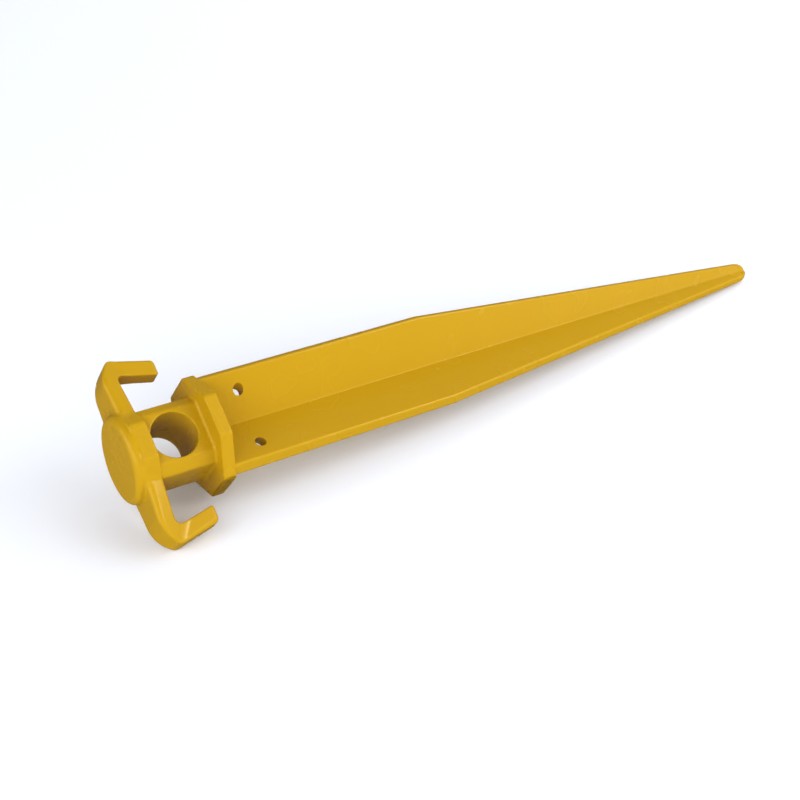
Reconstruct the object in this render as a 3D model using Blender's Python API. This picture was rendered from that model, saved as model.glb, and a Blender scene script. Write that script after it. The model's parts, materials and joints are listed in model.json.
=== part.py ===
"""Moulded plastic ground peg (tent and guy-line peg), modelled region by region.

The real peg is one injection moulding. It is modelled here as the regions that
it is made of: a striking disc, a hook plate with two arms and their fingers, a
square neck with a cross bore, an octagonal ground collar, and a Y-section blade
of two ribs and a keel.

The peg's own axes, used by every function below:
    X  lengthwise, 0 on the striking face, growing towards the point
    Y  across, from one hook to the other
    Z  along the cross bore, 0 on the peg's axis
The finished regions hang on one empty, which lays the peg down on its lower
hook, the edge of its collar and its point, the way it rests on a table.
"""
import math

import bmesh
import bpy
from mathutils import Matrix, Vector

MM = 0.001                      # the dimensions below are in millimetres
GAP = 0.15                      # half of the 0.3 mm left between two regions

# Stations along the peg
DISC_BACK = 2.9
PLATE_END = 9.1
COLLAR_START = 29.9
COLLAR_END = 34.7
TAPER_START = 128.0
TIP = 301.5

# Striking disc
DISC_RADIUS = 16.1
DISC_EDGE_ROUND = 1.5
DISC_SIDES = 72

# Hook plate and neck: squares with 45 degree corners
PLATE_HALF_Y = 12.7
PLATE_HALF_Z = 16.2
PLATE_CORNER = 6.1
NECK_HALF = 12.8
NECK_CORNER = 3.55
BORE_RADIUS = 8.35
BORE_X = 18.1
BORE_SIDES = 48

# Collar: an octagon, a little deeper along the bore than across
COLLAR_HALF_Y = 20.2
COLLAR_HALF_Z = 21.3
COLLAR_CORNER = 12.6

# Hook arms and fingers
ARM_HEAD_X = DISC_BACK + GAP
ARM_BEND_Y = 24.0               # where the arm's outer side starts to curve
ARM_BEND_RADIUS = 14.1
HOOK_CORNER_X = 8.6             # where that curve meets the finger's outer side
INNER_FILLET = 3.2
FINGER_LEAN = math.radians(13)  # the fingers lean in towards the neck
FINGER_WIDTH = 6.0
FINGER_END_X = 24.8
FINGER_END_ROUND = 1.4
FINGER_HALF_Z = 3.9
ARM_ROOT_HALF_Z = 10.1
ARM_DROP_ACROSS = 0.27          # fall of the arm's face per mm along Y
ARM_DROP_ALONG = (0.17, 0.55)   # fall per mm along X, at the root and at the finger

# Blade
RIB_LEAN = math.radians(29)     # each rib rises this much above the Y direction
RIB_WIDTH = 19.1                # from the groove's bottom to the rib's edge
RIB_TIP_WIDTH = 2.5
RIB_THICK = 5.2                 # at the groove, and at the edge where the rib starts
RIB_TIP_THICK = 3.4             # at the edge, at the point
KEEL_DEPTH = 15.0               # from the axis
KEEL_TIP_DEPTH = 2.4
TIP_ROUND = 4.5                 # length of the rounded end
NOSE_HEIGHT = 1.2               # how far above the axis that end closes
END_TURN = math.radians(80)     # how far round that end is carried
END_RINGS = 4
TIE_HOLE_RADIUS = 2.0
TIE_HOLE_X = 48.2
TIE_HOLE_Y = 10.45
TIE_HOLE_SIDES = 24

# Lying pose: turned about the peg's own length, then tipped, then lifted
ROLL = math.radians(34.744)
PITCH = math.radians(4.057)

YELLOW = (0.57, 0.35, 0.02, 1.0)
YELLOW_SHADES = (1.0, 0.94, 1.06)


# ---------------------------------------------------------------- helpers

def clear_scene():
    for obj in list(bpy.data.objects):
        bpy.data.objects.remove(obj, do_unlink=True)


def plastic(name, index):
    """A yellow plastic of its own for each region, a shade apart."""
    shade = YELLOW_SHADES[index % len(YELLOW_SHADES)]
    material = bpy.data.materials.new(name + "_plastic")
    material.use_nodes = True
    shader = material.node_tree.nodes["Principled BSDF"]
    colour = [min(1.0, value * shade) for value in YELLOW[:3]] + [1.0]
    shader.inputs["Base Color"].default_value = colour
    shader.inputs["Roughness"].default_value = 0.38
    shader.inputs["Metallic"].default_value = 0.0
    material.diffuse_color = colour
    return material


def region(name, bm, frame):
    """Turn a bmesh in millimetres into a named region hung on the frame."""
    bmesh.ops.remove_doubles(bm, verts=bm.verts, dist=1e-5)
    bmesh.ops.recalc_face_normals(bm, faces=bm.faces)
    bmesh.ops.scale(bm, vec=(MM, MM, MM), verts=bm.verts)
    mesh = bpy.data.meshes.new(name)
    bm.to_mesh(mesh)
    bm.free()
    obj = bpy.data.objects.new(name, mesh)
    bpy.context.collection.objects.link(obj)
    obj.parent = frame
    number = len(bpy.data.materials)
    mesh.materials.append(plastic(name, number))
    return obj


def loft(rings):
    """One closed body through rings of equally many points, capped at its ends."""
    bm = bmesh.new()
    layers = [[bm.verts.new(point) for point in ring] for ring in rings]
    count = len(rings[0])
    for low, high in zip(layers, layers[1:]):
        for i in range(count):
            j = (i + 1) % count
            bm.faces.new((low[i], low[j], high[j], high[i]))
    bm.faces.new(list(reversed(layers[0])))
    bm.faces.new(layers[-1])
    return bm


def prism(section, start, end):
    """Extrude a (Y, Z) section along X."""
    return loft([[(x, y, z) for y, z in section] for x in (start, end)])


def cut_corner_square(half_y, half_z, corner):
    """The (Y, Z) outline of a rectangle with 45 degree corners."""
    quarter = [(half_y, half_z - corner), (half_y - corner, half_z)]
    points = []
    for turn_y, turn_z in ((1, 1), (-1, 1), (-1, -1), (1, -1)):
        part = [(y * turn_y, z * turn_z) for y, z in quarter]
        points += part if turn_y == turn_z else list(reversed(part))
    return points


def arc(centre, radius, start, end, steps):
    """Points on an arc in a plane, both ends included."""
    angles = [start + (end - start) * i / steps for i in range(steps + 1)]
    return [(centre[0] + radius * math.cos(a), centre[1] + radius * math.sin(a)) for a in angles]


def cut(obj, cutter):
    """Cut a hidden guide solid out of a region."""
    cutter.hide_render = True
    cutter.display_type = "WIRE"
    modifier = obj.modifiers.new("cut", "BOOLEAN")
    modifier.operation = "DIFFERENCE"
    modifier.solver = "EXACT"
    modifier.object = cutter


def round_cutter(name, radius, x, y, half_length, sides, frame):
    """A guide cylinder along the peg's Z."""
    circle = arc((x, y), radius, 0.0, 2 * math.pi * (1 - 1 / sides), sides - 1)
    bm = loft([[(px, py, z) for px, py in circle] for z in (-half_length, half_length)])
    return region(name, bm, frame)


# ---------------------------------------------------------------- head

def make_striking_disc(frame):
    """A round disc, its struck edge rounded over and its back edge eased."""
    profile = arc((DISC_EDGE_ROUND, DISC_RADIUS - DISC_EDGE_ROUND), DISC_EDGE_ROUND,
                  math.pi, math.pi / 2, 4)
    ease = 0.6
    back = DISC_BACK - GAP
    profile += [(back - ease, DISC_RADIUS), (back, DISC_RADIUS - ease)]
    rings = []
    for x, radius in profile:
        turns = [2 * math.pi * i / DISC_SIDES for i in range(DISC_SIDES)]
        rings.append([(x, radius * math.cos(a), radius * math.sin(a)) for a in turns])
    region("striking_disc", loft(rings), frame)


def make_hook_plate(frame):
    section = cut_corner_square(PLATE_HALF_Y - GAP, PLATE_HALF_Z, PLATE_CORNER - GAP)
    region("hook_plate", prism(section, DISC_BACK + GAP, PLATE_END - GAP), frame)


def arm_half_height(x, y):
    """Half height of an arm: it falls from the plate to the finger's thickness."""
    reach = (y - PLATE_HALF_Y) / (hook_corner_y() - PLATE_HALF_Y)
    along = ARM_DROP_ALONG[0] + (ARM_DROP_ALONG[1] - ARM_DROP_ALONG[0]) * reach
    height = ARM_ROOT_HALF_Z - ARM_DROP_ACROSS * (y - PLATE_HALF_Y) - along * (x - PLATE_END)
    return max(FINGER_HALF_Z, height)


def hook_corner_y():
    """Where the arm's outer curve ends and the finger's outer side begins."""
    centre_x = ARM_HEAD_X + ARM_BEND_RADIUS
    return ARM_BEND_Y + math.sqrt(ARM_BEND_RADIUS ** 2 - (centre_x - HOOK_CORNER_X) ** 2)


def finger_side_y(x, inset):
    """Y of a line along the finger, so far in from its outer side."""
    slope = math.tan(FINGER_LEAN)
    return hook_corner_y() - slope * (x - HOOK_CORNER_X) - inset / math.cos(FINGER_LEAN)


def inner_fillet():
    """The arc in the hook's throat, from the arm's face to the finger's inner side."""
    centre_x = PLATE_END + INNER_FILLET
    centre_y = finger_side_y(centre_x, FINGER_WIDTH + INNER_FILLET)
    end = math.pi / 2 - FINGER_LEAN
    return arc((centre_x, centre_y), INNER_FILLET, math.pi, end, 5)


def slab(outline, half_height):
    """A body over an (X, Y) outline, as high above Z = 0 as it is deep below."""
    rings = [[(x, y, sign * half_height(x, y)) for x, y in outline] for sign in (-1, 1)]
    return loft(rings)


def make_hook(side_name, side, frame):
    """One arm, and the finger that points from its end towards the blade."""
    throat = inner_fillet()
    bend_centre = (ARM_HEAD_X + ARM_BEND_RADIUS, ARM_BEND_Y)
    corner_angle = math.atan2(hook_corner_y() - ARM_BEND_Y, HOOK_CORNER_X - bend_centre[0])
    outer = arc(bend_centre, ARM_BEND_RADIUS, corner_angle, math.pi, 7)
    root = PLATE_HALF_Y + GAP
    arm = [(ARM_HEAD_X, root), (PLATE_END, root)] + throat + outer
    mirrored = [(x, y * side) for x, y in arm]
    body = slab(mirrored, lambda x, y: arm_half_height(x, abs(y)))
    region("hook_arm_" + side_name, body, frame)

    # The joint line runs from the throat to the outer corner; the finger starts past it.
    seam = (Vector(throat[-1]), Vector((HOOK_CORNER_X, hook_corner_y())))
    along = Vector((math.cos(FINGER_LEAN), -math.sin(FINGER_LEAN)))
    start = [point + along * (2 * GAP / math.cos(FINGER_LEAN)) for point in seam]
    r = FINGER_END_ROUND
    outer_y = finger_side_y(FINGER_END_X - r, 0.0)
    inner_y = finger_side_y(FINGER_END_X - r, FINGER_WIDTH)
    end = arc((FINGER_END_X - r, inner_y + r), r, -math.pi / 2, 0.0, 3)
    end += arc((FINGER_END_X - r, outer_y - r), r, 0.0, math.pi / 2, 3)
    finger = [tuple(start[0])] + end + [tuple(start[1])]
    mirrored = [(x, y * side) for x, y in finger]
    region("hook_finger_" + side_name, slab(mirrored, lambda x, y: FINGER_HALF_Z), frame)


def make_neck(frame):
    """A square neck with cut corners and a round bore across it."""
    section = cut_corner_square(NECK_HALF, NECK_HALF, NECK_CORNER)
    neck = region("neck", prism(section, PLATE_END + GAP, COLLAR_START - GAP), frame)
    cutter = round_cutter("bore_guide", BORE_RADIUS, BORE_X, 0.0, NECK_HALF + 2, BORE_SIDES, frame)
    cut(neck, cutter)


def make_collar(frame):
    section = cut_corner_square(COLLAR_HALF_Y, COLLAR_HALF_Z, COLLAR_CORNER)
    region("collar", prism(section, COLLAR_START + GAP, COLLAR_END - GAP), frame)


# ---------------------------------------------------------------- blade

def taper(x, wide, narrow):
    """A size that stays constant up to the taper, then falls evenly to the point."""
    share = min(1.0, max(0.0, (x - TAPER_START) / (TIP - TAPER_START)))
    return wide + (narrow - wide) * share


def edge_thickness(x):
    """A rib's edge thins evenly from collar to point, while its root stays as thick."""
    share = (x - COLLAR_END) / (TIP - COLLAR_END)
    return RIB_THICK + (RIB_TIP_THICK - RIB_THICK) * share


def rib_section(x, direction, reach, shrink):
    """One rib: a wedge at the axis, then two faces out to a square edge.

    The rounded end shrinks it towards a point a little above the axis.
    """
    root_half = RIB_THICK / 2
    edge_half = edge_thickness(x) / 2
    root = root_half / math.tan(math.pi / 3) + 2 * GAP
    out = Vector((math.cos(direction), math.sin(direction)))
    across = Vector((-out.y, out.x))
    points = [out * (2 * GAP),
              out * root - across * root_half,
              out * reach - across * edge_half,
              out * reach + across * edge_half,
              out * root + across * root_half]
    lift = NOSE_HEIGHT * (1 - shrink)
    return [(x, shrink * point.x, shrink * point.y + lift) for point in points]


def make_rib(name, direction, wide, narrow, frame):
    """Stations along one rib, with the last few rounding it off at the point."""
    rings = [rib_section(x, direction, taper(x, wide, narrow), 1.0)
             for x in (COLLAR_END + GAP, TAPER_START, TIP - TIP_ROUND)]
    for step in range(1, END_RINGS + 1):
        angle = END_TURN * step / END_RINGS
        x = TIP - TIP_ROUND + TIP_ROUND * math.sin(angle)
        rings.append(rib_section(x, direction, taper(x, wide, narrow), math.cos(angle)))
    return region(name, loft(rings), frame)


def make_blade(frame):
    """Two ribs that spread like a V, each with a tie hole, and a keel below them."""
    root = RIB_THICK / 2 * math.tan(math.pi / 6)
    for side_name, direction, side in (("left", RIB_LEAN, 1), ("right", math.pi - RIB_LEAN, -1)):
        rib = make_rib("blade_rib_" + side_name, direction, RIB_WIDTH + root,
                       RIB_TIP_WIDTH + root, frame)
        cutter = round_cutter("tie_hole_guide_" + side_name, TIE_HOLE_RADIUS, TIE_HOLE_X,
                              side * TIE_HOLE_Y, COLLAR_HALF_Z, TIE_HOLE_SIDES, frame)
        cut(rib, cutter)
    make_rib("blade_keel", -math.pi / 2, KEEL_DEPTH, KEEL_TIP_DEPTH, frame)


# ---------------------------------------------------------------- assembly

def lay_down(frame):
    """Turn the peg to its resting pose, standing on Z = 0 with its box centred over 0, 0."""
    turn = Matrix.Rotation(PITCH, 4, "Y") @ Matrix.Rotation(ROLL, 4, "X")
    solids = [obj for obj in frame.children if not obj.hide_render]
    points = [turn @ vertex.co for obj in solids for vertex in obj.data.vertices]
    low = Vector([min(point[axis] for point in points) for axis in range(3)])
    high = Vector([max(point[axis] for point in points) for axis in range(3)])
    middle = (low + high) / 2
    frame.matrix_world = Matrix.Translation((-middle.x, -middle.y, -low.z)) @ turn


def main():
    clear_scene()
    frame = bpy.data.objects.new("peg_frame", None)
    bpy.context.collection.objects.link(frame)
    make_striking_disc(frame)
    make_hook_plate(frame)
    make_hook("left", 1, frame)
    make_hook("right", -1, frame)
    make_neck(frame)
    make_collar(frame)
    make_blade(frame)
    lay_down(frame)


main()
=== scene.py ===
"""A moulded plastic ground peg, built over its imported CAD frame.

The peg is one injection moulding. Its head (striking disc, hook plate, two hooks,
bored neck and collar) is one solid described by a distance field, so that every
edge has its mould radius and every inside corner its fillet, and that solid is
then parted at its natural joint lines. The blade is three ribs from one Geometry
Nodes tree. Everything is made in the peg's own axes and then laid down with it:
    X  lengthwise, 0 on the striking face, growing towards the point
    Y  across, from hook to hook
    Z  along the cross bore
"""

import json
import math
import types

import bmesh
import bpy
import numpy as np
from mathutils import Euler, Matrix, Vector


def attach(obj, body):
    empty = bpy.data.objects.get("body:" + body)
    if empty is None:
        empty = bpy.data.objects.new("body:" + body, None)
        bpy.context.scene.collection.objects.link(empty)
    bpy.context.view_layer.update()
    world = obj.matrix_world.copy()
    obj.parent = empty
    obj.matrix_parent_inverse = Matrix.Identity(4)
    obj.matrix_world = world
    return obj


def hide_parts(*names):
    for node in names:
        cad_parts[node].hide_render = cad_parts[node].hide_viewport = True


bl_info = {
    "name": "Moulded Ground Peg",
    "version": (1, 0, 0),
    "blender": (4, 5, 0),
    "location": "3D View > Sidebar > Ground Peg",
    "description": "Builds a moulded plastic ground peg with hooks, a collar and a three-ribbed blade",
    "category": "Add Mesh",
}

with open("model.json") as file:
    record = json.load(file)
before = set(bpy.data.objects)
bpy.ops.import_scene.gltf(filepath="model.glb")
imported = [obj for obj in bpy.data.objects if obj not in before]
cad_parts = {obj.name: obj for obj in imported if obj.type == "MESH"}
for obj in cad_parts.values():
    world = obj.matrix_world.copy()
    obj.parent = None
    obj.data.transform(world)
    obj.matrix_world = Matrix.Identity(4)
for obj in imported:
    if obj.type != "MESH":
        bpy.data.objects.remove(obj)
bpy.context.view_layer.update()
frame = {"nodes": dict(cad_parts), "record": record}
BODY = "root"
MM = 0.001                    # one millimetre in metres
CAD_GAP = 0.15 * MM           # how far each CAD part stops short of its joint line


# ---------------------------------------------------------------- the frame's own measures

def peg_axes():
    """The matrix from peg axes to the row frame, read off the record's mounts."""
    mounts = {mount["name"]: mount for mount in frame["record"]["mounts"]}
    along = -Vector(mounts["striking_face"]["axis"]).normalized()
    bore = along.cross(Vector(mounts["neck_side_left"]["axis"])).normalized()
    across = bore.cross(along)
    turn = Matrix((along, across, bore)).transposed().to_4x4()
    return Matrix.Translation(mounts["striking_face"]["pos_m"]) @ turn


PEG = peg_axes()


def span(node):
    """Lowest and highest corner of a CAD node in peg axes, in metres."""
    back = PEG.inverted()
    places = np.array([back @ vertex.co for vertex in frame["nodes"][node].data.vertices])
    return places.min(0), places.max(0)


DISC = span("striking_disc")
PLATE = span("hook_plate")
ARM = span("hook_arm_left")
FINGER = span("hook_finger_left")
NECK = span("neck")
COLLAR = span("collar")
KEEL = span("blade_keel")


def between(low_part, high_part):
    """The station halfway between two neighbouring CAD parts."""
    return float(low_part[1][0] + high_part[0][0]) / 2


# ---------------------------------------------------------------- sizes and colours

def length(name, default, description):
    """A length property in metres."""
    return bpy.props.FloatProperty(name=name, description=description, default=float(default),
                                   min=0.0, precision=5, subtype="DISTANCE", unit="LENGTH")


def angle(name, default, description):
    """An angle property, given in degrees and kept in radians."""
    return bpy.props.FloatProperty(name=name, description=description,
                                   default=math.radians(default), subtype="ANGLE", unit="ROTATION")


def linear(code):
    """An sRGB hex colour as linear RGB with full alpha."""
    channels = [int(code[i:i + 2], 16) / 255 for i in (1, 3, 5)]
    steps = [c / 12.92 if c <= 0.04045 else ((c + 0.055) / 1.055) ** 2.4 for c in channels]
    return (*steps, 1.0)


def colour(name, code, description):
    """A colour property given as an sRGB hex code."""
    return bpy.props.FloatVectorProperty(name=name, description=description, size=4, min=0.0,
                                         max=1.0, default=linear(code), subtype="COLOR")


class PegHeadSizes(bpy.types.PropertyGroup):
    """Sizes of the moulded head."""
    disc_radius: length("Disc Radius", DISC[1][1], "Radius of the striking disc")
    disc_back: length("Disc Back", between(DISC, PLATE), "Where the disc ends and the plate begins")
    disc_round: length("Disc Round", 2.4 * MM, "Radius of the disc's struck edge")
    plate_half_y: length("Plate Half Width", 12.7 * MM, "Half width of the hook plate")
    plate_half_z: length("Plate Half Depth", PLATE[1][2], "Half depth of the hook plate")
    plate_corner: length("Plate Corner", 6.1 * MM, "Cut of the hook plate's corners")
    plate_end: length("Plate End", between(PLATE, NECK), "Where the plate ends")
    neck_half: length("Neck Half", NECK[1][1], "Half width of the square neck")
    neck_corner: length("Neck Corner", 3.55 * MM, "Cut of the neck's corners")
    bore_radius: length("Bore Radius", 8.35 * MM, "Radius of the cross bore")
    bore_station: length("Bore Station", 18.1 * MM, "Distance of the bore from the struck face")
    collar_start: length("Collar Start", between(NECK, COLLAR), "Head side of the collar")
    collar_end: length("Collar End", COLLAR[1][0] + CAD_GAP, "Blade side of the collar")
    collar_half_y: length("Collar Half Width", COLLAR[1][1], "Half width of the collar")
    collar_half_z: length("Collar Half Depth", COLLAR[1][2], "Half depth of the collar")
    collar_corner: length("Collar Corner", 12.6 * MM, "Cut of the collar's corners")
    collar_flare: length("Collar Flare", 1.2 * MM, "Fillet between neck and collar")
    bend_radius: length("Bend Radius", 14.1 * MM, "Outer curve of a hook's arm")
    bend_y: length("Bend Start", 24.0 * MM, "How far across the outer curve begins")
    hook_corner_x: length("Hook Corner", 8.6 * MM, "Station where arm and finger meet outside")
    throat: length("Throat Fillet", 3.2 * MM, "Fillet inside the hook")
    finger_lean: angle("Finger Lean", 13.0, "How much the fingers lean in towards the neck")
    finger_width: length("Finger Width", 6.0 * MM, "Width of a finger")
    finger_end: length("Finger End", FINGER[1][0], "Station of the fingers' ends")
    finger_half: length("Finger Half Depth", FINGER[1][2], "Half depth of a finger")
    arm_root_half: length("Arm Root Half Depth", 10.1 * MM, "Half depth of an arm at its root")
    edge: length("Edge Radius", 0.55 * MM, "Radius of an ordinary moulded edge")
    cell: length("Mesh Cell", 0.38 * MM, "Size of the mesh's cells on the head")


class PegBladeSizes(bpy.types.PropertyGroup):
    """Sizes of the three-ribbed blade."""
    start: length("Start", COLLAR[1][0] - 1.0 * MM, "Where the ribs start, inside the collar")
    taper_start: length("Taper Start", 128.0 * MM, "Where the ribs begin to taper")
    tip: length("Tip", 301.5 * MM, "The point of the blade")
    tip_round: length("Tip Round", 4.6 * MM, "Length of the rounded end")
    nose_height: length("Nose Height", 1.2 * MM, "How far above the axis the rounded end closes")
    lean: angle("Rib Lean", 29.0, "How far each upper rib rises from level")
    rib_width: length("Rib Width", 20.7 * MM, "Reach of an upper rib from the axis")
    rib_tip_width: length("Rib Tip Width", 4.0 * MM, "Reach of an upper rib at the point")
    keel_depth: length("Keel Depth", -KEEL[0][2], "Reach of the keel from the axis")
    keel_tip_depth: length("Keel Tip Depth", 2.4 * MM, "Reach of the keel at the point")
    thickness: length("Thickness", 5.2 * MM, "Thickness of a rib at its root")
    tip_thickness: length("Tip Edge Thickness", 3.4 * MM, "Thickness of a rib's edge at the point")
    tip_root: length("Tip Root Thickness", 3.7 * MM, "Thickness of a rib's root at the point")
    groove_round: length("Groove Round", 0.5 * MM, "Fillet in the groove between two ribs")
    tip_groove_round: length("Tip Groove Round", 2.9 * MM, "The same fillet at the point")
    edge: length("Edge Radius", 0.9 * MM, "Radius of a rib's edges")
    hole_edge: length("Tie Hole Edge", 0.3 * MM, "Radius of a tie hole's rims")
    hole_radius: length("Tie Hole Radius", 2.0 * MM, "Radius of a tie hole")
    hole_station: length("Tie Hole Station", 48.2 * MM, "Distance of the tie holes from the head")
    hole_offset: length("Tie Hole Offset", 10.45 * MM, "Distance of a tie hole from the middle")


class PegFinish(bpy.types.PropertyGroup):
    """Colours of the plastic."""
    body: colour("Body", "#B38A0B", "The plastic's own colour")
    pale: colour("Pale", "#B68D0D", "Where the pigment is thinner")
    speck: colour("Speck", "#6A4A18", "Small dark specks in the pigment")
    sheen: colour("Sheen", "#F8E6B8", "Tint of the highlights")


class PegStage(bpy.types.PropertyGroup):
    """Floor and lights."""
    floor: colour("Floor", "#ECF0F9", "Colour of the floor")
    panel_size: length("Panel Size", 0.9, "Side of each soft light panel")
    panel_distance: length("Panel Distance", 1.3, "Distance of the panels from the peg")
    low_height: angle("Low Ring", 20.0, "How high the lower ring of panels stands")
    high_height: angle("High Ring", 50.0, "How high the upper ring of panels stands")
    power: bpy.props.FloatProperty(name="Power", description="Scales all the panels", default=1.0,
                                   min=0.0)
    sky: bpy.props.FloatProperty(name="Sky", description="Strength of the light from all round",
                                 default=0.08, min=0.0)


def in_mm(group):
    """A property group's lengths in millimetres, and its angles as they are."""
    values = {}
    for name, prop in group.bl_rna.properties.items():
        if prop.type == "FLOAT":
            value = getattr(group, name)
            values[name] = value / MM if prop.unit == "LENGTH" else value
    return types.SimpleNamespace(**values)


# ---------------------------------------------------------------- shared helpers

def add_node(tree, kind, settings=None, inputs=None):
    """Add a node with its settings, and set or link its inputs by name or index."""
    node = tree.nodes.new(kind)
    for name, value in (settings or {}).items():
        setattr(node, name, value)
    for name, value in (inputs or {}).items():
        if isinstance(value, bpy.types.NodeSocket):
            tree.links.new(value, node.inputs[name])
        else:
            node.inputs[name].default_value = value
    return node


def finish_piece(name, mesh, material, node):
    """Show a finished mesh as one piece that stands for a CAD node."""
    mesh.name = name
    mesh.materials.clear()
    mesh.materials.append(material)
    piece = bpy.data.objects.new(name, mesh)
    bpy.context.scene.collection.objects.link(piece)
    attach(piece, BODY)
    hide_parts(node)


# ---------------------------------------------------------------- the head as a distance field

def round_meet(a, b, radius):
    """Two faces meeting on an outside edge, which gets this radius."""
    corner = np.hypot(np.maximum(a + radius, 0), np.maximum(b + radius, 0))
    return np.minimum(-radius, np.maximum(a, b)) + corner


def round_join(a, b, radius):
    """Two bodies joined, with a fillet of this radius between them."""
    corner = np.hypot(np.maximum(radius - a, 0), np.maximum(radius - b, 0))
    return np.maximum(radius, np.minimum(a, b)) - corner


def cut_corner_square(y, z, half_y, half_z, corner, radius):
    """A rectangle with 45 degree corners, seen along X."""
    slope = (y + z - (half_y + half_z - corner)) / math.sqrt(2)
    return round_meet(round_meet(y - half_y, slope, radius), z - half_z, radius)


def hook_corner_y(s):
    """How far across the bend ends, at the hook's outer corner."""
    short = s.disc_back + s.bend_radius - s.hook_corner_x
    return s.bend_y + math.sqrt(s.bend_radius ** 2 - short ** 2)


def finger_side(x, y, s):
    """Distance outside the straight outer side of a finger."""
    return ((y - hook_corner_y(s)) * math.cos(s.finger_lean)
            + (x - s.hook_corner_x) * math.sin(s.finger_lean))


# Details of the head that stay as they are, in mm unless said otherwise
ARM_DROP_ACROSS = 0.27           # fall of an arm's face per mm outwards
ARM_DROP_ALONG = (0.17, 0.55)    # fall per mm lengthwise, at the root and at the finger
ARM_REACH = 22.6                 # from the plate to the hook's corner
SOFT_ROOT = 2.7                  # radius of an arm's struck edge at its root
SOFT_END = 0.7                   # the same at the hook's corner
SOFT_BUILD = (1.5, 3.0)          # it starts this far inside the plate's side, and takes this long
HOOK_CORNER_ROUND = 1.0
HOOK_INSIDE_EXTRA = 0.1          # how much softer than other edges a hook's inner edge is
FINGER_END_ROUND = 1.2
CREASE = 0.8                     # fillet where the arm's slope meets the finger
ROOT_FILLET = 0.8                # fillet where disc, plate and arms meet
DISC_BACK_ROUND = 0.5
BORE_EDGE = 0.4
NECK_OVERLAP = (2.0, 1.4)        # how far the neck runs into the plate and into the collar
NECK_FILLET = 0.6                # fillet of neck and plate, only on the faces that the bore opens in
FILLET_RAMP = (9.5, 2.0)         # it grows from this height off the axis, over this much
FILLET_LEAST = 0.03              # share of it that the other faces have
SEAM = 0.3                       # from a face to the joint line beside it
ARM_ROOT = 13.0                  # from the middle to where the arms part from the plate
FLARE_START = 0.9                # how far before the collar its flare parts from the neck
SPARE_CELLS = 3                  # cells kept past a piece's first cut
PULLS = 4                        # times that the mesh is pulled onto the field's zero level
LEAST_SLOPE = 0.05               # least squared slope of the field that a pull reckons with


def arm_face(x, y, z, s):
    """Distance outside the sloping faces of an arm and the level faces of its finger."""
    out = y - s.plate_half_y
    share = np.clip(out / ARM_REACH, 0, 1)
    along = ARM_DROP_ALONG[0] + (ARM_DROP_ALONG[1] - ARM_DROP_ALONG[0]) * share
    height = s.arm_root_half - ARM_DROP_ACROSS * out - along * (x - s.plate_end)
    slope = (z - height) / math.hypot(1, ARM_DROP_ACROSS)
    return round_join(slope, z - s.finger_half, CREASE)


def hooks_and_plate(x, y, z, s):
    """The plate and both hooks, which share their struck face and their inner face."""
    section = cut_corner_square(y, z, s.plate_half_y, s.plate_half_z, s.plate_corner, s.edge)
    section = round_join(section, arm_face(x, y, z, s), ROOT_FILLET)
    bend_x = s.disc_back + s.bend_radius
    bend = np.hypot(x - bend_x, np.maximum(y - s.bend_y, 0)) - s.bend_radius
    side = finger_side(x, y, s)
    outside = round_meet(bend, side, HOOK_CORNER_ROUND)
    inside = round_join(x - s.plate_end, -side - s.finger_width, s.throat)
    rise = np.clip((y - s.plate_half_y + SOFT_BUILD[0]) / SOFT_BUILD[1], 0, 1)
    fall = np.clip((y - s.plate_half_y) / ARM_REACH, 0, 1)
    soft = s.edge + rise * (SOFT_ROOT + (SOFT_END - SOFT_ROOT) * fall ** 3 - s.edge)
    body = round_meet(section, outside, soft)
    body = round_meet(body, inside, s.edge + HOOK_INSIDE_EXTRA)
    return round_meet(body, x - s.finger_end, FINGER_END_ROUND)


def head_field(x, y, z, s):
    """Signed distance to the whole moulded head, in mm, negative inside."""
    y, z = np.abs(y), np.abs(z)
    disc = round_meet(np.hypot(y, z) - s.disc_radius, -x, s.disc_round)
    disc = round_meet(disc, x - s.disc_back, DISC_BACK_ROUND)
    head = round_join(disc, hooks_and_plate(x, y, z, s), ROOT_FILLET)
    neck = cut_corner_square(y, z, s.neck_half, s.neck_half, s.neck_corner, s.edge)
    neck = np.maximum(neck, s.plate_end - NECK_OVERLAP[0] - x)
    neck = np.maximum(neck, x - s.collar_start - NECK_OVERLAP[1])
    collar = cut_corner_square(y, z, s.collar_half_y, s.collar_half_z, s.collar_corner, s.edge)
    middle = (s.collar_start + s.collar_end) / 2
    collar = round_meet(collar, np.abs(x - middle) - (s.collar_end - middle), s.edge)
    trunk = round_join(neck, collar, s.collar_flare)
    fillet = NECK_FILLET * np.clip((z - FILLET_RAMP[0]) / FILLET_RAMP[1],
                                   FILLET_LEAST, 1)
    whole = round_join(head, trunk, fillet)
    bore = s.bore_radius - np.hypot(x - s.bore_station, y)
    return round_meet(whole, bore, BORE_EDGE)


def slope_of(field, points, step=0.01):
    """Gradient of a field at points, by central differences."""
    parts = []
    for axis in range(3):
        shift = np.zeros(3)
        shift[axis] = step
        ahead = field(*(points + shift).T)
        behind = field(*(points - shift).T)
        parts.append((ahead - behind) / (2 * step))
    return np.stack(parts, 1)


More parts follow.
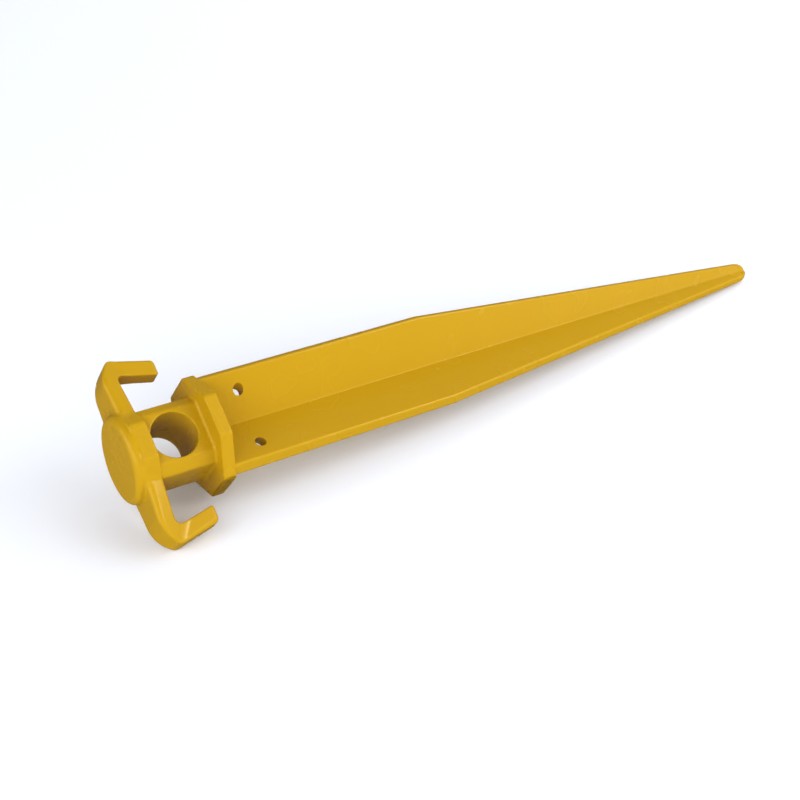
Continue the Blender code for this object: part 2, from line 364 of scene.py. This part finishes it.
def surface_of(field, low, high, cell):
    """Wrap the zero level of a field in quads: one corner in each cell it passes through."""
    counts = np.ceil((np.array(high) - np.array(low)) / cell).astype(int) + 1
    axes = [low[i] + cell * np.arange(counts[i]) for i in range(3)]
    values = field(*np.meshgrid(*axes, indexing="ij"))
    inside = values < 0
    cells = tuple(counts - 1)
    total = np.zeros(cells + (3,))
    hits = np.zeros(cells)
    faces = []
    crossings = []
    for axis in range(3):
        near = [slice(None)] * 3
        far = [slice(None)] * 3
        near[axis] = slice(0, -1)
        far[axis] = slice(1, None)
        a, b = values[tuple(near)], values[tuple(far)]
        crossed = (a < 0) != (b < 0)
        share = np.where(crossed, a / np.where(crossed, a - b, 1), 0)
        crossings.append(crossed)
        u, v = (axis + 1) % 3, (axis + 2) % 3
        for du in (0, 1):
            for dv in (0, 1):
                pick = [slice(None)] * 3
                pick[u] = slice(du, counts[u] - 1 + du)
                pick[v] = slice(dv, counts[v] - 1 + dv)
                hit = crossed[tuple(pick)]
                hits += hit
                total[..., axis] += np.where(hit, share[tuple(pick)], 0)
                total[..., u] += hit * du
                total[..., v] += hit * dv
    used = hits > 0
    number = np.full(cells, -1)
    number[used] = np.arange(used.sum())
    corner = np.stack(np.nonzero(used), 1)
    points = np.array(low) + cell * (corner + total[used] / hits[used][:, None])
    for axis, crossed in enumerate(crossings):
        u, v = (axis + 1) % 3, (axis + 2) % 3
        at = np.stack(np.nonzero(crossed), 1)
        within = (at[:, u] > 0) & (at[:, u] < counts[u] - 1)
        at = at[within & (at[:, v] > 0) & (at[:, v] < counts[v] - 1)]
        ring = []
        for du, dv in ((1, 1), (0, 1), (0, 0), (1, 0)):
            back = at.copy()
            back[:, u] -= du
            back[:, v] -= dv
            ring.append(number[tuple(back.T)])
        quad = np.stack(ring, 1)
        outward = inside[tuple(at.T)]
        quad[~outward] = quad[~outward][:, ::-1]
        faces.append(quad)
    for _ in range(PULLS):
        slope = slope_of(field, points)
        size = np.maximum((slope ** 2).sum(1), LEAST_SLOPE)
        move = (field(*points.T) / size)[:, None] * slope
        points = points - np.clip(move, -cell / 2, cell / 2)
    return points, np.concatenate(faces)


HEAD = {"sizes": None}


def head_surface(s):
    """The whole head's surface, worked out once for its sizes and shared by its pieces."""
    if HEAD["sizes"] != s:
        HEAD["sizes"] = s
        margin = 2 * s.cell
        reach = float(ARM[1][1]) / MM + margin
        low = (-margin, -reach, -s.collar_half_z - margin)
        high = (s.collar_end + margin, reach, s.collar_half_z + margin)
        HEAD["field"] = lambda x, y, z: head_field(x, y, z, s)
        HEAD["points"], HEAD["faces"] = surface_of(HEAD["field"], low, high, s.cell)
    return HEAD["field"], HEAD["points"], HEAD["faces"]


def cut_off(axis, place, outward):
    """A cut square to one axis: a point on it and the way to what is cut off."""
    point = [0.0, 0.0, 0.0]
    point[axis] = place
    normal = [0.0, 0.0, 0.0]
    normal[axis] = float(outward)
    return point, normal


def part_of_head(name, planes, s, material, node):
    """Part the head by planes, each (point, outward normal) in mm, and close the cuts."""
    field, points, faces = head_surface(s)
    first_point, first_normal = planes[0]
    keep = (points - np.array(first_point)) @ np.array(first_normal) < SPARE_CELLS * s.cell
    chosen = faces[keep[faces].all(1)]
    used, remapped = np.unique(chosen, return_inverse=True)
    mesh = bpy.data.meshes.new(name)
    mesh.from_pydata(points[used].tolist(), [], remapped.reshape(-1, 4).tolist())
    bm = bmesh.new()
    bm.from_mesh(mesh)
    cap = bm.faces.layers.int.new("cap")
    for point, normal in planes:
        everything = bm.verts[:] + bm.edges[:] + bm.faces[:]
        cut = bmesh.ops.bisect_plane(bm, geom=everything, dist=1e-5, plane_co=point,
                                     plane_no=normal, clear_outer=True)
        edges = [e for e in cut["geom_cut"] if isinstance(e, bmesh.types.BMEdge) and e.is_boundary]
        filled = bmesh.ops.edgeloop_fill(bm, edges=edges)
        for face in bmesh.ops.triangulate(bm, faces=filled["faces"])["faces"]:
            face.normal_update()
            if face.normal.dot(Vector(normal)) < 0:
                face.normal_flip()
            face[cap] = 1
    open_edges = [e for e in bm.edges if not e.is_manifold]
    if open_edges:
        raise RuntimeError(f"{name}: {len(open_edges)} open edges")
    caps = np.array([face[cap] for face in bm.faces], bool)
    bm.to_mesh(mesh)
    bm.free()
    places = np.array([vertex.co for vertex in mesh.vertices])
    smooth = slope_of(field, places)
    smooth /= np.linalg.norm(smooth, axis=1)[:, None]
    turn = np.array(PEG.to_3x3())
    normals = []
    for polygon, is_cap in zip(mesh.polygons, caps):
        if is_cap:
            normals += [polygon.normal[:]] * polygon.loop_total
        else:
            normals += [smooth[i] for i in polygon.vertices]
    normals = np.array(normals) @ turn.T
    mesh.transform(PEG @ Matrix.Scale(MM, 4))
    mesh.polygons.foreach_set("use_smooth", np.ones(len(mesh.polygons), bool))
    mesh.normals_split_custom_set(normals.tolist())
    finish_piece(name, mesh, material, node)


# ---------------------------------------------------------------- the blade's tree

ARC_COLUMNS = 6                # columns of faces over half a groove's fillet
FACE_END = 9                   # the column where a rib's flat face ends
COLUMNS = 14                   # and the last one, over the rounded edge
TAPER_RING = 11                # the ring where the taper starts
NOSE_RING = 35                 # the ring where the rounded end starts
RINGS = 45                     # and the last one, at the point
NOSE_TURN = math.radians(88)   # how far the rounded end turns over
QUARTER = math.radians(90)
LATE = 2.5                     # power that keeps the groove's change near the point
HOLE_SIDES = 64
HOLE_DEPTH = 60 * MM           # long enough to go right through a rib
HOLE_NEAR = 1.05               # an edge this many hole radiuses from its axis is on its rim
SHARP_BEND = math.radians(40)  # an edge that bends more than this is a sharp one
RIM_SEGMENTS = 3

RIB_INPUTS = (
    "Start", "Taper Start", "Tip", "Tip Round", "Nose Height", "Reach", "Tip Reach",
    "Thickness", "Tip Thickness", "Tip Root", "Groove Round", "Tip Groove Round", "Edge Round",
    "Direction", "Angle Ahead", "Angle Behind", "Hole Radius", "Hole Station", "Hole Offset")

# Each row is a result, what is done, and the numbers or earlier results that it is done to.
# RANGE moves a value from one range to another and holds it at the ends.
RIB_SHAPE = (
    ("ring", "ADD", "bar x", RINGS / 2),
    ("column", "ADD", "bar y", COLUMNS / 2),
    # Lengthwise: straight, then tapering, then rounded over at the point
    ("straight", "RANGE", "ring", 0.0, TAPER_RING, "Start", "Taper Start"),
    ("nose start", "SUBTRACT", "Tip", "Tip Round"),
    ("taper length", "SUBTRACT", "nose start", "Taper Start"),
    ("tapering", "RANGE", "ring", TAPER_RING, NOSE_RING, 0.0, "taper length"),
    ("turn", "RANGE", "ring", NOSE_RING, RINGS, 0.0, NOSE_TURN),
    ("turn sine", "SINE", "turn"),
    ("shrink", "COSINE", "turn"),
    ("along", "ADD", "straight", "tapering"),
    ("x", "MULTIPLY_ADD", "Tip Round", "turn sine", "along"),
    ("reach", "RANGE", "x", "Taper Start", "Tip", "Reach", "Tip Reach"),
    ("thickness", "RANGE", "x", "Start", "Tip", "Thickness", "Tip Thickness"),
    ("half edge", "MULTIPLY", "thickness", 0.5),
    ("even share", "RANGE", "x", "Taper Start", "Tip", 0.0, 1.0),
    ("late share", "POWER", "even share", LATE),
    ("root", "RANGE", "late share", 0.0, 1.0, "Thickness", "Tip Root"),
    ("half root", "MULTIPLY", "root", 0.5),
    ("groove", "RANGE", "late share", 0.0, 1.0, "Groove Round", "Tip Groove Round"),
    # Across: half of the groove's fillet
    ("opening", "RANGE", "side", -1.0, 1.0, "Angle Behind", "Angle Ahead"),
    ("opening sine", "SINE", "opening"),
    ("opening cosine", "COSINE", "opening"),
    ("centre height", "ADD", "half root", "groove"),
    ("centre", "DIVIDE", "centre height", "opening sine"),
    ("centre out", "MULTIPLY", "centre", "opening cosine"),
    ("sweep", "RANGE", "column", 0.0, ARC_COLUMNS, "opening", QUARTER),
    ("sweep sine", "SINE", "sweep"),
    ("sweep cosine", "COSINE", "sweep"),
    ("inwards", "MULTIPLY", "groove", -1.0),
    ("arc out", "MULTIPLY_ADD", "inwards", "sweep cosine", "centre out"),
    ("arc up", "MULTIPLY_ADD", "inwards", "sweep sine", "centre height"),
    # then the flat face, then round the rib's edge
    ("face out", "SUBTRACT", "reach", "Edge Round"),
    ("flat out", "RANGE", "column", ARC_COLUMNS, FACE_END, "arc out", "face out"),
    ("flat up", "RANGE", "column", ARC_COLUMNS, FACE_END, "arc up", "half edge"),
    ("corner", "RANGE", "column", FACE_END, COLUMNS, 0.0, QUARTER),
    ("corner sine", "SINE", "corner"),
    ("corner cosine", "COSINE", "corner"),
    ("full out", "MULTIPLY_ADD", "Edge Round", "corner sine", "flat out"),
    ("corner left", "SUBTRACT", "corner cosine", 1.0),
    ("full up", "MULTIPLY_ADD", "Edge Round", "corner left", "flat up"),
    # The middle layer's root is on the axis, and the two faces lie either side of it
    ("layer", "ABSOLUTE", "side"),
    ("off root", "MINIMUM", "column", 1.0),
    ("spread", "MAXIMUM", "layer", "off root"),
    ("spread out", "MULTIPLY", "full out", "spread"),
    ("out", "MULTIPLY", "spread out", "shrink"),
    ("signed up", "MULTIPLY", "full up", "side"),
    ("up", "MULTIPLY", "signed up", "shrink"),
    # Turned to the rib's own direction round the axis
    ("direction sine", "SINE", "Direction"),
    ("direction cosine", "COSINE", "Direction"),
    ("up across", "MULTIPLY", "up", "direction sine"),
    ("out across", "MULTIPLY", "out", "direction cosine"),
    ("y", "SUBTRACT", "out across", "up across"),
    ("up height", "MULTIPLY", "up", "direction cosine"),
    ("height", "MULTIPLY_ADD", "out", "direction sine", "up height"),
    ("closed", "SUBTRACT", 1.0, "shrink"),
    ("z", "MULTIPLY_ADD", "closed", "Nose Height", "height"))

# An edge of the tie hole's rim is sharp and near the hole's axis
RIM_MARKS = (
    ("aside", "SUBTRACT", "at x", "Hole Station"),
    ("across", "SUBTRACT", "at y", "Hole Offset"),
    ("aside squared", "MULTIPLY", "aside", "aside"),
    ("away squared", "MULTIPLY_ADD", "across", "across", "aside squared"),
    ("away", "SQRT", "away squared"),
    ("rim radius", "MULTIPLY", "Hole Radius", HOLE_NEAR),
    ("near", "LESS_THAN", "away", "rim radius"),
    ("bent", "GREATER_THAN", "bend", SHARP_BEND),
    ("rim", "MULTIPLY", "bent", "near"),
    ("sharp", "SUBTRACT", "bent", "rim"))


def add_sums(tree, rows, known):
    """Add a node for each row, and keep each result under its name in known."""
    for name, action, *values in rows:
        inputs = {place: known.get(value, value) for place, value in enumerate(values)}
        if action == "RANGE":
            kind, settings = "ShaderNodeMapRange", {"clamp": True}
        else:
            kind, settings = "ShaderNodeMath", {"operation": action}
        known[name] = add_node(tree, kind, settings, inputs).outputs[0]


def build_rib_tree():
    """One tree for a rib: a bar whose rings follow the taper, with a tie hole through it."""
    tree = bpy.data.node_groups.new("Blade Rib", "GeometryNodeTree")
    for name in RIB_INPUTS:
        tree.interface.new_socket(name, in_out="INPUT", socket_type="NodeSocketFloat")
    tree.interface.new_socket("Material", in_out="INPUT", socket_type="NodeSocketMaterial")
    tree.interface.new_socket("Geometry", in_out="OUTPUT", socket_type="NodeSocketGeometry")
    given = add_node(tree, "NodeGroupInput").outputs
    known = {name: given[name] for name in RIB_INPUTS}

    # A straight bar of the right number of faces, moved ring by ring into shape
    bar = add_node(tree, "GeometryNodeMeshCube", None, {
        "Size": (RINGS, COLUMNS, 2.0), "Vertices X": RINGS + 1, "Vertices Y": COLUMNS + 1,
        "Vertices Z": 3})
    place = add_node(tree, "GeometryNodeInputPosition").outputs[0]
    parts = add_node(tree, "ShaderNodeSeparateXYZ", None, {0: place}).outputs
    known.update({"bar x": parts[0], "bar y": parts[1], "side": parts[2]})
    add_sums(tree, RIB_SHAPE, known)
    target = add_node(tree, "ShaderNodeCombineXYZ", None,
                      {0: known["x"], 1: known["y"], 2: known["z"]}).outputs[0]
    rib = add_node(tree, "GeometryNodeSetPosition", None,
                   {"Geometry": bar.outputs["Mesh"], "Position": target}).outputs[0]

    # The tie hole, straight along Z
    hole = add_node(tree, "GeometryNodeMeshCylinder", None, {
        "Vertices": HOLE_SIDES, "Radius": given["Hole Radius"],
        "Depth": HOLE_DEPTH}).outputs["Mesh"]
    hole_place = add_node(tree, "ShaderNodeCombineXYZ", None,
                          {0: given["Hole Station"], 1: given["Hole Offset"]}).outputs[0]
    hole = add_node(tree, "GeometryNodeTransform", None,
                    {"Geometry": hole, "Translation": hole_place}).outputs[0]
    bored = add_node(tree, "GeometryNodeMeshBoolean", {"operation": "DIFFERENCE", "solver": "EXACT"},
                     {"Mesh 1": rib, "Mesh 2": hole}).outputs["Mesh"]

    # The hole's rims are marked for rounding, and the inner wedge's edges stay sharp
    bend = add_node(tree, "GeometryNodeInputMeshEdgeAngle").outputs["Unsigned Angle"]
    spot = add_node(tree, "ShaderNodeSeparateXYZ", None, {0: place}).outputs
    known.update({"bend": bend, "at x": spot[0], "at y": spot[1]})
    add_sums(tree, RIM_MARKS, known)
    marked = add_node(tree, "GeometryNodeStoreNamedAttribute",
                      {"data_type": "FLOAT", "domain": "EDGE"},
                      {"Geometry": bored, "Name": "bevel_weight_edge", "Value": known["rim"]})
    sharp = add_node(tree, "GeometryNodeStoreNamedAttribute",
                     {"data_type": "BOOLEAN", "domain": "EDGE"},
                     {"Geometry": marked.outputs[0], "Name": "sharp_edge", "Value": known["sharp"]})
    smooth = add_node(tree, "GeometryNodeSetShadeSmooth", None, {"Geometry": sharp.outputs[0]})
    real = add_node(tree, "GeometryNodeRealizeInstances", None, {"Geometry": smooth.outputs[0]})
    done = add_node(tree, "GeometryNodeSetMaterial", None,
                    {"Geometry": real.outputs[0], "Material": given["Material"]})
    add_node(tree, "NodeGroupOutput", None, {"Geometry": done.outputs[0]})
    return tree


def blade_rib(name, tree, values, edge, material, node):
    """Run the rib tree, round the marked edges and keep the result as a plain mesh."""
    maker = bpy.data.objects.new(name + "_maker", bpy.data.meshes.new(name + "_maker"))
    bpy.context.scene.collection.objects.link(maker)
    grow = maker.modifiers.new("Rib", "NODES")
    grow.node_group = tree
    sockets = {item.name: item.identifier for item in tree.interface.items_tree
               if item.in_out == "INPUT"}
    for key, value in values.items():
        grow[sockets[key]] = float(value)
    grow[sockets["Material"]] = material
    bevel = maker.modifiers.new("Edges", "BEVEL")
    bevel.limit_method = "WEIGHT"
    bevel.width = edge
    bevel.segments = RIM_SEGMENTS
    weigh = maker.modifiers.new("Normals", "WEIGHTED_NORMAL")
    weigh.keep_sharp = True
    graph = bpy.context.evaluated_depsgraph_get()
    mesh = bpy.data.meshes.new_from_object(maker.evaluated_get(graph), depsgraph=graph)
    bpy.data.objects.remove(maker)
    if not mesh.polygons:
        raise RuntimeError(name + ": the rib tree gave no faces")
    mesh.transform(PEG)
    finish_piece(name, mesh, material, node)


# ---------------------------------------------------------------- materials

def moulded_plastic(finish):
    """Injection-moulded plastic, such as glass-filled nylon or ABS, coloured right through.

    To the eye it is a satin body colour that hardly varies, with soft highlights
    along the moulded edges, a faintly pebbled skin, and a few specks of pigment.
    """
    name = "Moulded plastic, golden yellow"
    if name in bpy.data.materials:
        return bpy.data.materials[name]
    material = bpy.data.materials.new(name)
    material.use_nodes = True
    tree = material.node_tree
    tree.nodes.clear()
    place = add_node(tree, "ShaderNodeTexCoord").outputs["Object"]
    # Pigment clouds 25 mm across
    clouds = add_node(tree, "ShaderNodeTexNoise", None,
                      {"Vector": place, "Scale": 1 / (25 * MM), "Detail": 1.0}).outputs[0]
    tone = add_node(tree, "ShaderNodeMapRange", None, {0: clouds, 1: 0.0, 2: 1.0}).outputs[0]
    body = add_node(tree, "ShaderNodeMix", {"data_type": "RGBA"},
                    {0: tone, 6: finish.body, 7: finish.pale}).outputs[2]
    # Specks in cells of 30 mm, of which the surface meets only a few. A speck is full
    # within 0.24 mm of its middle and gone by 0.42 mm, both given here in cells.
    cells = add_node(tree, "ShaderNodeTexVoronoi", None, {"Vector": place, "Scale": 1 / (30 * MM)})
    near = add_node(tree, "ShaderNodeMapRange", None,
                    {0: cells.outputs["Distance"], 1: 0.014, 2: 0.008, 3: 0.0, 4: 0.4}).outputs[0]
    speckled = add_node(tree, "ShaderNodeMix", {"data_type": "RGBA"},
                        {0: near, 6: body, 7: finish.speck}).outputs[2]
    # The skin's pebbles are about 0.1 mm; drawn at 0.6 mm so that they show at all
    pebbles = add_node(tree, "ShaderNodeTexNoise", None,
                       {"Vector": place, "Scale": 1 / (0.6 * MM), "Detail": 2.0}).outputs[0]
    bump = add_node(tree, "ShaderNodeBump", None,
                    {"Strength": 0.05, "Distance": 0.02 * MM, "Height": pebbles}).outputs[0]
    # Gloss varies over patches 12 mm across, as the mould's polish does
    patches = add_node(tree, "ShaderNodeTexNoise", None,
                       {"Vector": place, "Scale": 1 / (12 * MM), "Detail": 1.0}).outputs[0]
    gloss = add_node(tree, "ShaderNodeMapRange", None,
                     {0: patches, 1: 0.0, 2: 1.0, 3: 0.25, 4: 0.29}).outputs[0]
    shader = add_node(tree, "ShaderNodeBsdfPrincipled", None, {
        "Base Color": speckled, "Roughness": gloss, "IOR": 1.5, "Normal": bump,
        "Metallic": 0.0, "Specular IOR Level": 0.5, "Specular Tint": finish.sheen})
    add_node(tree, "ShaderNodeOutputMaterial", None, {"Surface": shader.outputs[0]})
    return material


def matt_paper(stage):
    """Seamless studio paper: even, white and without gloss."""
    material = bpy.data.materials.new("Studio paper, white")
    material.use_nodes = True
    tree = material.node_tree
    tree.nodes.clear()
    shader = add_node(tree, "ShaderNodeBsdfPrincipled", None, {
        "Base Color": stage.floor, "Roughness": 1.0, "Specular IOR Level": 0.0})
    add_node(tree, "ShaderNodeOutputMaterial", None, {"Surface": shader.outputs[0]})
    return material


# ---------------------------------------------------------------- operators

class PEG_OT_disc_and_plate(bpy.types.Operator):
    """Make the striking disc and the hook plate behind it"""
    bl_idname = "ground_peg.disc_and_plate"
    bl_label = "Disc and Plate"

    def execute(self, context):
        s = in_mm(context.scene.peg_head)
        plastic = moulded_plastic(context.scene.peg_finish)
        disc = [cut_off(0, s.disc_back - SEAM / 2, 1)]
        plate = [cut_off(0, s.disc_back - SEAM / 2, -1), cut_off(0, s.plate_end + SEAM, 1),
                 cut_off(1, ARM_ROOT, 1), cut_off(1, -ARM_ROOT, -1)]
        part_of_head("disc_piece", disc, s, plastic, "striking_disc")
        part_of_head("plate_piece", plate, s, plastic, "hook_plate")
        return {"FINISHED"}


def crease(s, side):
    """The joint line from a hook's throat to its outer corner: a point and a normal."""
    corner_x = s.hook_corner_x
    corner_y = hook_corner_y(s)
    throat_x = s.plate_end + s.throat * (1 + math.sin(s.finger_lean))
    inner_y = corner_y - (math.tan(s.finger_lean) * (throat_x - corner_x)
                          + s.finger_width / math.cos(s.finger_lean))
    along = Vector((corner_x - throat_x, corner_y - inner_y, 0)).normalized()
    normal = (along.y, -along.x * side, 0)
    return (corner_x, corner_y * side, 0), normal


class PEG_OT_hooks(bpy.types.Operator):
    """Make the two hooks, each an arm and its finger"""
    bl_idname = "ground_peg.hooks"
    bl_label = "Hooks"

    def execute(self, context):
        s = in_mm(context.scene.peg_head)
        plastic = moulded_plastic(context.scene.peg_finish)
        for name, side in (("left", 1), ("right", -1)):
            point, normal = crease(s, side)
            back = [-value for value in normal]
            arm = [cut_off(1, ARM_ROOT * side, -side), cut_off(0, s.disc_back - SEAM / 2, -1),
                   (point, normal)]
            part_of_head("arm_piece_" + name, arm, s, plastic, "hook_arm_" + name)
            # The first cut only clears away the other hook and the neck
            finger = [cut_off(1, 1.5 * ARM_ROOT * side, -side), (point, back)]
            part_of_head("finger_piece_" + name, finger, s, plastic, "hook_finger_" + name)
        return {"FINISHED"}


class PEG_OT_neck_and_collar(bpy.types.Operator):
    """Make the bored neck and the collar that stops on the ground"""
    bl_idname = "ground_peg.neck_and_collar"
    bl_label = "Neck and Collar"

    def execute(self, context):
        s = in_mm(context.scene.peg_head)
        plastic = moulded_plastic(context.scene.peg_finish)
        flare = s.collar_start - FLARE_START
        neck = [cut_off(0, s.plate_end + SEAM, -1), cut_off(0, flare, 1),
                cut_off(1, ARM_ROOT, 1), cut_off(1, -ARM_ROOT, -1)]
        part_of_head("neck_piece", neck, s, plastic, "neck")
        part_of_head("collar_piece", [cut_off(0, flare, -1)], s, plastic, "collar")
        return {"FINISHED"}


class PEG_OT_blade(bpy.types.Operator):
    """Make the two upper ribs and the keel of the blade"""
    bl_idname = "ground_peg.blade"
    bl_label = "Blade"

    def execute(self, context):
        b = context.scene.peg_blade
        plastic = moulded_plastic(context.scene.peg_finish)
        tree = build_rib_tree()
        above = (math.pi - 2 * b.lean) / 2
        below = (math.pi / 2 + b.lean) / 2
        shared = {"Start": b.start, "Taper Start": b.taper_start, "Tip": b.tip,
                  "Tip Round": b.tip_round, "Thickness": b.thickness,
                  "Tip Thickness": b.tip_thickness, "Tip Root": b.tip_root,
                  "Nose Height": b.nose_height,
                  "Groove Round": b.groove_round, "Tip Groove Round": b.tip_groove_round,
                  "Edge Round": b.edge, "Hole Radius": b.hole_radius,
                  "Hole Station": b.hole_station}
        rows = (("rib_piece_left", "blade_rib_left", b.lean, above, below,
                 b.rib_width, b.rib_tip_width, b.hole_offset),
                ("rib_piece_right", "blade_rib_right", math.pi - b.lean, below, above,
                 b.rib_width, b.rib_tip_width, -b.hole_offset),
                ("keel_piece", "blade_keel", -math.pi / 2, below, below,
                 b.keel_depth, b.keel_tip_depth, b.hole_offset))
        for name, node, direction, ahead, behind, reach, tip_reach, hole in rows:
            values = dict(shared)
            values.update({"Direction": direction, "Angle Ahead": ahead, "Angle Behind": behind,
                           "Reach": reach, "Tip Reach": tip_reach, "Hole Offset": hole})
            blade_rib(name, tree, values, b.hole_edge, plastic, node)
        return {"FINISHED"}


# ---------------------------------------------------------------- the stage

FLOOR_HALF = 1.1                             # metres
CAMERA_PLACE = (-0.27017, -0.35381, 0.32591)
CAMERA_TURN = (52.925, -0.802, -33.167)      # degrees
CAMERA_SIDE = math.atan2(CAMERA_PLACE[1], CAMERA_PLACE[0])
LENS = 61.4                                  # mm
SENSOR = 36.0                                # mm
NEAREST = 0.01                               # metres in front of the camera

# Soft panels round the peg: degrees from the camera's side, anticlockwise from above, and watts
LOW_PANELS = ((0, 9), (40, 3), (90, 10), (135, 7), (180, 3), (225, 3), (315, 7))
HIGH_PANELS = ((90, 5), (180, 3), (315, 4))
# Panels that only draw highlights: degrees round and up in the row frame, width, height, watts
SPARKS = ((178, 24, 1.6, 0.4, 7), (-42, 42, 0.35, 0.3, 4))


def light_panel(name, around, height, watts, stage):
    """A soft square light that faces the peg."""
    lamp = bpy.data.lights.new(name, "AREA")
    lamp.shape = "SQUARE"
    lamp.size = stage.panel_size
    lamp.energy = watts * stage.power
    holder = bpy.data.objects.new(name, lamp)
    flat = stage.panel_distance * math.cos(height)
    place = Vector((flat * math.cos(around), flat * math.sin(around),
                    stage.panel_distance * math.sin(height)))
    holder.location = place
    holder.rotation_euler = place.to_track_quat("Z", "Y").to_euler()
    bpy.context.scene.collection.objects.link(holder)
    return holder


def studio_sky(stage):
    """A white backdrop that shows to the camera and adds only a little light."""
    world = bpy.data.worlds.new("Studio")
    world.use_nodes = True
    tree = world.node_tree
    tree.nodes.clear()
    seen = add_node(tree, "ShaderNodeLightPath").outputs["Is Camera Ray"]
    strength = add_node(tree, "ShaderNodeMapRange", None, {0: seen, 3: stage.sky, 4: 1.0})
    back = add_node(tree, "ShaderNodeBackground", None, {
        "Color": (1.0, 1.0, 1.0, 1.0), "Strength": strength.outputs[0]})
    add_node(tree, "ShaderNodeOutputWorld", None, {"Surface": back.outputs[0]})
    return world


class PEG_OT_stage(bpy.types.Operator):
    """Set up the floor, the lights and the camera"""
    bl_idname = "ground_peg.stage"
    bl_label = "Stage"

    def execute(self, context):
        scene = context.scene
        stage = scene.peg_stage
        corners = [(x * FLOOR_HALF, y * FLOOR_HALF, 0)
                   for x, y in ((-1, -1), (1, -1), (1, 1), (-1, 1))]
        mesh = bpy.data.meshes.new("floor")
        mesh.from_pydata(corners, [], [(0, 1, 2, 3)])
        mesh.materials.append(matt_paper(stage))
        floor = bpy.data.objects.new("floor", mesh)
        scene.collection.objects.link(floor)
        floor.visible_glossy = False
        scene.world = studio_sky(stage)
        for ring, height, panels in (("low", stage.low_height, LOW_PANELS),
                                     ("high", stage.high_height, HIGH_PANELS)):
            for turn, watts in panels:
                around = CAMERA_SIDE + math.radians(turn)
                panel = light_panel(f"panel_{ring}_{turn}", around, height, watts, stage)
                panel.visible_glossy = False
        for around, height, width, tall, watts in SPARKS:
            spark = light_panel(f"spark_{around}", math.radians(around), math.radians(height),
                                watts, stage)
            spark.data.shape = "RECTANGLE"
            spark.data.size = width
            spark.data.size_y = tall
            spark.visible_diffuse = False
        lens = bpy.data.cameras.new("camera")
        lens.lens = LENS
        lens.sensor_width = SENSOR
        lens.clip_start = NEAREST
        camera = bpy.data.objects.new("camera", lens)
        camera.location = CAMERA_PLACE
        camera.rotation_euler = Euler([math.radians(turn) for turn in CAMERA_TURN], "XYZ")
        scene.collection.objects.link(camera)
        scene.camera = camera
        scene.view_settings.view_transform = "Standard"
        return {"FINISHED"}


STEPS = (PEG_OT_disc_and_plate, PEG_OT_hooks, PEG_OT_neck_and_collar, PEG_OT_blade, PEG_OT_stage)


class PEG_PT_panel(bpy.types.Panel):
    """Lists the peg's sizes, colours and building steps"""
    bl_label = "Ground Peg"
    bl_idname = "PEG_PT_panel"
    bl_space_type = "VIEW_3D"
    bl_region_type = "UI"
    bl_category = "Ground Peg"

    def draw(self, context):
        for step in STEPS:
            self.layout.operator(step.bl_idname)
        for group in (context.scene.peg_head, context.scene.peg_blade,
                      context.scene.peg_finish, context.scene.peg_stage):
            box = self.layout.box()
            for name in group.bl_rna.properties.keys():
                if name not in ("rna_type", "name"):
                    box.prop(group, name)


GROUPS = {"peg_head": PegHeadSizes, "peg_blade": PegBladeSizes,
          "peg_finish": PegFinish, "peg_stage": PegStage}
CLASSES = (*GROUPS.values(), *STEPS, PEG_PT_panel)


def register():
    """Register the classes and hang their groups on the scene."""
    for cls in CLASSES:
        bpy.utils.register_class(cls)
    for name, group in GROUPS.items():
        setattr(bpy.types.Scene, name, bpy.props.PointerProperty(type=group))


def unregister():
    """Undo register."""
    for name in GROUPS:
        delattr(bpy.types.Scene, name)
    for cls in reversed(CLASSES):
        bpy.utils.unregister_class(cls)


def main():
    """Build the peg and its stage in order."""
    register()
    bpy.ops.ground_peg.disc_and_plate()
    bpy.ops.ground_peg.hooks()
    bpy.ops.ground_peg.neck_and_collar()
    bpy.ops.ground_peg.blade()
    bpy.ops.ground_peg.stage()


if __name__ == "__main__":
    main()
